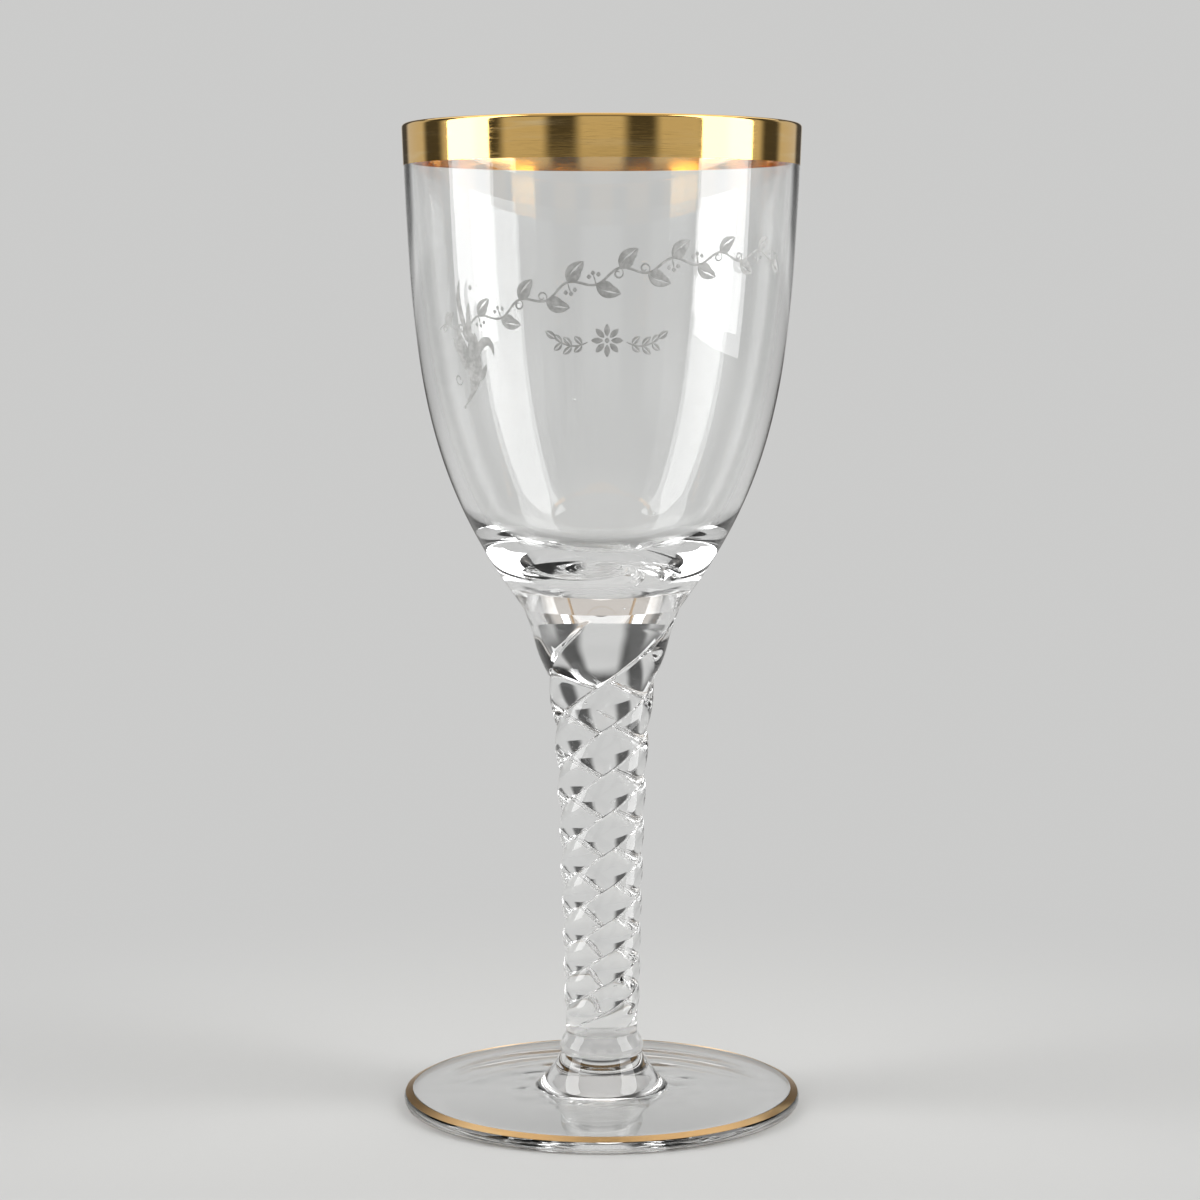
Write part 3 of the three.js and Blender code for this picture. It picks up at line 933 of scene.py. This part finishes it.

# %% [markdown]
# ## The gilding
#
# Liquid gold was brushed on with the glass turning on a wheel and fired, which leaves a film far
# thinner than a hair. Cloth and lips have drawn fine level scratches round it. A film can't be
# built as a film, so each coat is a thin bent tube. Its back lies a hair inside the glass, so that
# gold seen through the glass has no sheet of air in front of it.
#
# The scratches are noise that is squeezed hard along the height, so each grain is a level line and
# there is no seam anywhere. They change both the roughness and the bump. The band is bright, and
# the thin line on the foot duller. The line's gold is also the band's darkened, which is painted
# shade.

# %% Gold
COAT_OUT, COAT_IN = 0.06 * MM, 0.02 * MM
FINE_STREAKS, BROAD_STREAKS = (260.0, 22.0), (55.0, 9.0)        # scale and squeeze of the noise
WEAR_CLOUDS = 38.0
WORN_GOLD = (0.93, 0.72, 0.40, 1)
SCRATCHES_DULL, WEAR_DULLS = 0.09, 0.10


def gold(name, shade, dullness, streak_depth):
    """Metal of a shade. Scratches and wear add to its dullness, and wear makes it paler."""
    finish = Finish(name)
    fine = finish.noise(*FINE_STREAKS, detail=3.0, roughness=0.6)
    broad = finish.noise(*BROAD_STREAKS, detail=2.0)
    cloud = finish.noise(WEAR_CLOUDS, detail=3.0)
    scratches = fine.between(0.45, 0.75)
    worn = broad.between(0.52, 0.78) * cloud.between(0.35, 0.7)
    metal = finish.node("ShaderNodeBsdfPrincipled", {}, {
        "Base Color": finish.mix(worn, shade, WORN_GOLD),
        "Metallic": 1.0,
        "Roughness": dullness + SCRATCHES_DULL * scratches + WEAR_DULLS * worn,
        "Normal": finish.bump(fine + broad, streak_depth),
    })
    return finish.shade(metal)


BAND_GOLD = gold("band_gold", (0.84, 0.54, 0.18, 1), 0.05, 0.002 * MM)
# The line's gold is the band's darkened: painted shade, so that it mirrors darker.
SHADED_LINE_GOLD = gold("shaded_line_gold", (0.53, 0.335, 0.15, 1), 0.30, 0.010 * MM)


def coat(name, stretch):
    """A closed band round a stretch of profile: its face moved out, its back moved in."""
    out = -left_of(stretch)
    loop = np.vstack([stretch + out * COAT_OUT, (stretch - out * COAT_IN)[::-1]])
    return make_mesh(name, skin(turned_rings(*loop.T), joined=True))


band_stretch = np.vstack([side_stretch(BAND_FOOT, lip_start[1], 24), lip_arc])
place(coat("rim_gold", band_stretch), "rim_gilding", "gilding", [BAND_GOLD])
line_stretch = straight(SHOULDER_OUT, SHOULDER_IN, 8)
place(coat("foot_gold", line_stretch), "foot_gilding", "gilding", [SHADED_LINE_GOLD])

# %% [markdown]
# ## Camera
#
# The photograph's camera was worked out from the ellipses of the rim and the foot: it stands 534 mm
# from the glass, 144 mm above the table, and looks down by 5.7 degrees.

# %% Camera
PICTURE_WIDTH, FOCAL_PIXELS = 1200, 3030
CAMERA_ASIDE, CAMERA_DISTANCE, CAMERA_HEIGHT = -0.0003, 0.5337, 0.144
CAMERA_TILT = np.radians(5.74)

camera_data = bpy.data.cameras.new("camera")
camera_data.sensor_width = 36.0
camera_data.sensor_fit = "HORIZONTAL"
camera_data.lens = FOCAL_PIXELS / PICTURE_WIDTH * camera_data.sensor_width
camera_data.clip_start = 0.01
camera = bpy.data.objects.new("camera", camera_data)
camera.location = (CAMERA_ASIDE, -CAMERA_DISTANCE, CAMERA_HEIGHT)
camera.rotation_euler = (np.pi / 2 - CAMERA_TILT, 0, 0)
bpy.context.scene.collection.objects.link(camera)
bpy.context.scene.camera = camera
print(f"lens {camera_data.lens:.1f} mm")

# %% [markdown]
# ## The room
#
# Clear glass shows its surroundings and little else, so the room is a part of the picture: a wide
# pale floor, with pale screens round it at eye level. The gaps between the screens and the room
# above them are dim, and overhead hangs a cream cloth, which the thick base and the boss pick up.
# Edges and grooves bend light from the gaps, and so draw themselves as dark lines.
#
# From some sides a gap would be right behind the glass. So the gaps and the dim upper room are left
# out of what the camera sees directly, and of light that went straight through both walls of the
# bowl, which makes four crossings and no reflection.
#
# One formula gives the room's glow in a direction, to the world and, far from the glass, to the
# floor, so that no horizon shows. Near the glass the floor is plain paper, lit by the lamps, and
# takes the shadow. Both glow only for rays that come from the camera, straight or by way of glass
# or metal, so the background throws no extra light on the object. In a mirror the floor is paper
# with painted shade, darker away from the glass, and only its far part glows, because the gold band
# mirrors just that part.
#
# On a real table light reaches the paper through the clear foot. The renderer stops lamp light at
# glass, so the paper under the foot glows in part.

# %% What a ray has been through
WALL_CROSSINGS = 4


def ray_is(finish, *kinds):
    """1 for a ray of one of the kinds: Camera, Glossy off a surface, or Transmission through it."""
    share, *others = (finish.node("ShaderNodeLightPath", output=f"Is {kind} Ray") for kind in kinds)
    for other in others:
        share = finish.math("MAXIMUM", share, other)
    return share


def straight_through_bowl(finish):
    """1 where the light path counts four crossings and no reflection, and 0 elsewhere."""
    off = finish.node("ShaderNodeLightPath", output="Transmission Depth") - WALL_CROSSINGS
    reflections = finish.node("ShaderNodeLightPath", output="Glossy Depth")
    crossed = 1 - finish.math("ABSOLUTE", off).between(0.0, 0.5)
    return crossed * (1 - reflections.between(0.0, 0.5))


# %% The room's glow
SCREENS = 8
SCREEN_EDGE = -0.8, 0.2         # cosines between which a gap becomes a screen
SCREEN_TOP = 0.28, 0.50         # sines of the height above the horizon
CLOTH_EDGE = 0.62, 0.74
PALE, GAP, CEILING, CLOTH = 0.60, 0.07, 0.06, 0.60
ON_OBJECT = 0.25
CREAM = (1.0, 0.93, 0.86, 1)
WHITE = (1.0, 1.0, 0.99, 1)


def blend(level, other, share):
    """The level, moved by a share of the way to another one."""
    return level + (other - level) * share


def room_glow(finish, place):
    """Pale where the cosine of the bearing times eight is high, dim in the gaps and above, and pale
    again overhead, but pale all over for a direct view. Gives the level of the light, and 1 where
    it comes from the cloth overhead."""
    across, along, up = finish.axes(place)
    bearing = finish.math("ARCTAN2", along, across)
    screen = finish.math("COSINE", bearing * SCREENS).between(*SCREEN_EDGE)
    level = blend(GAP, PALE, screen)
    level = blend(level, CEILING, up.between(*SCREEN_TOP))
    overhead = up.between(*CLOTH_EDGE)
    level = blend(level, CLOTH, overhead)
    direct = finish.math("MAXIMUM", ray_is(finish, "Camera"), straight_through_bowl(finish))
    return blend(level, PALE, direct), overhead * (1 - direct)


def room():
    """The world: the glow for rays that see it, and a plain level for light on matt surfaces."""
    finish = Finish("room", "World")
    glow, overhead = room_glow(finish, finish.node("ShaderNodeTexCoord", output="Generated"))
    seen = ray_is(finish, "Camera", "Glossy", "Transmission")
    return finish.shade(finish.node("ShaderNodeBackground", {}, {
        "Color": finish.mix(overhead * seen, WHITE, CREAM),
        "Strength": glow * seen + ON_OBJECT * (1 - seen),
    }))


bpy.context.scene.world = room()
print(f"the room has {SCREENS} screens")

# %% Floor
NEAR_PAPER, FAR_PAPER_PAINTED_SHADE = (0.66, 0.66, 0.65, 1), (0.22, 0.21, 0.20, 1)
PAINTED_SHADE_SPAN = 0.35, 0.90      # distances from the glass in metres, over which shade is painted on the paper
GLOW_STARTS = 0.05, 0.20
ROOM_STARTS = 2.5, 6.0
MIRRORED_GLOW = 2.5, 5.0
UNDER_FOOT = 0.6                # share of glow in the paper under the clear foot
UNDER_FOOT_TO = FOOT_RADIUS - 3 * MM, FOOT_RADIUS
FLOOR_START, FLOOR_GROWTH, FLOOR_RINGS, FLOOR_ROUND = 0.02, 1.5, 17, 96


def floor_paper():
    """Paper mixed with glow by the distance from the glass and by what the ray has been through."""
    finish = Finish("floor_paper")
    length = {"operation": "LENGTH"}
    away = finish.node("ShaderNodeVectorMath", length, {0: finish.place()}, output="Value")
    paper = finish.node("ShaderNodeBsdfPrincipled", {}, {
        # Painted shade: the paper's colour darkens away from the glass, so the gold mirrors a dim
        # floor.
        "Base Color": finish.mix(away.between(*PAINTED_SHADE_SPAN), NEAR_PAPER, FAR_PAPER_PAINTED_SHADE),
        "Roughness": 0.6,
        "Specular IOR Level": 0.3,
    })
    glow, _ = room_glow(finish, finish.place())
    glow = blend(PALE, glow, away.between(*ROOM_STARTS))
    shine = finish.node("ShaderNodeEmission", {}, {"Color": WHITE, "Strength": glow})
    under_foot = UNDER_FOOT * (1 - away.between(*UNDER_FOOT_TO))
    seen = ray_is(finish, "Camera", "Transmission")
    share = (away.between(*GLOW_STARTS) + under_foot) * seen
    share = share + away.between(*MIRRORED_GLOW) * ray_is(finish, "Glossy")
    return finish.shade(finish.node("ShaderNodeMixShader", {}, {0: share, 1: paper, 2: shine}))


def floor_mesh():
    """A round floor: each ring's radius is the last one's times a factor, closed at the middle."""
    radius = FLOOR_START * FLOOR_GROWTH ** np.arange(FLOOR_RINGS)
    rings = turned_rings(radius, np.zeros(FLOOR_RINGS), FLOOR_ROUND)
    mesh = make_mesh("floor", skin(rings, poles=((0, 0, 0), None)))
    mesh.flip_normals()
    return mesh


floor = bpy.data.objects.new("floor", floor_mesh())
floor.data.materials.append(floor_paper())
floor.location.z = -0.05 * MM
bpy.context.scene.collection.objects.link(floor)
print(f"floor reaches {floor.dimensions.x / 2:.1f} m")

# %% [markdown]
# ## Lamps
#
# Two tall soft boxes, one at each side and a little in front, give the upright bright strips on the
# bowl and the band. A wide one above and behind lights the floor, the gold line on the foot and,
# through the bowl's open mouth, the thick glass at the base.
#
# From the side a box stands right behind the glass. The camera doesn't see the lamps, so the box
# would show in the bowl alone and fill it with white. Light that went straight through both walls
# of the bowl therefore doesn't show the side boxes. The last lines set how many faces a ray may
# meet: with too few, thick glass turns black inside.

# %% Lamps
OVERHEAD_TILT = np.radians(36)


def soft_box(name, bearing, distance, width, height, centre, glow):
    """A rectangle of light facing the glass, at a bearing in degrees from the camera."""
    angle = np.radians(bearing)
    data = bpy.data.lights.new(name, "AREA")
    data.shape = "RECTANGLE"
    data.size, data.size_y = width, height
    data.energy = glow * np.pi * width * height
    lamp = bpy.data.objects.new(name, data)
    lamp.location = (distance * np.sin(angle), -distance * np.cos(angle), centre)
    lamp.rotation_euler = (np.pi / 2, 0, angle)
    lamp.visible_camera = False
    bpy.context.scene.collection.objects.link(lamp)
    return lamp


def hide_behind_bowl(lamp):
    """Takes the lamp out of light that went straight through the bowl."""
    finish = Finish(lamp.name, "Light", lamp.data)
    shown = 1 - straight_through_bowl(finish)
    finish.shade(finish.node("ShaderNodeEmission", {}, {"Strength": shown}))


for name, bearing, width in (("soft_box_left", -80.5, 0.34), ("soft_box_right", 75, 0.40)):
    hide_behind_bowl(soft_box(name, bearing, 0.62, width, height=1.30, centre=0.60, glow=4.2))
overhead = soft_box("soft_box_overhead", 180, 0.80, 2.2, height=0.8, centre=1.15, glow=0.95)
overhead.rotation_euler = (OVERHEAD_TILT, 0, np.pi)
print("lamps:", [lamp.name for lamp in bpy.data.lights])

scene = bpy.context.scene
scene.view_settings.view_transform = "Standard"
scene.cycles.max_bounces = 24
scene.cycles.transmission_bounces = 20
scene.cycles.glossy_bounces = 8
scene.cycles.transparent_max_bounces = 24
scene.cycles.sample_clamp_indirect = 6.0
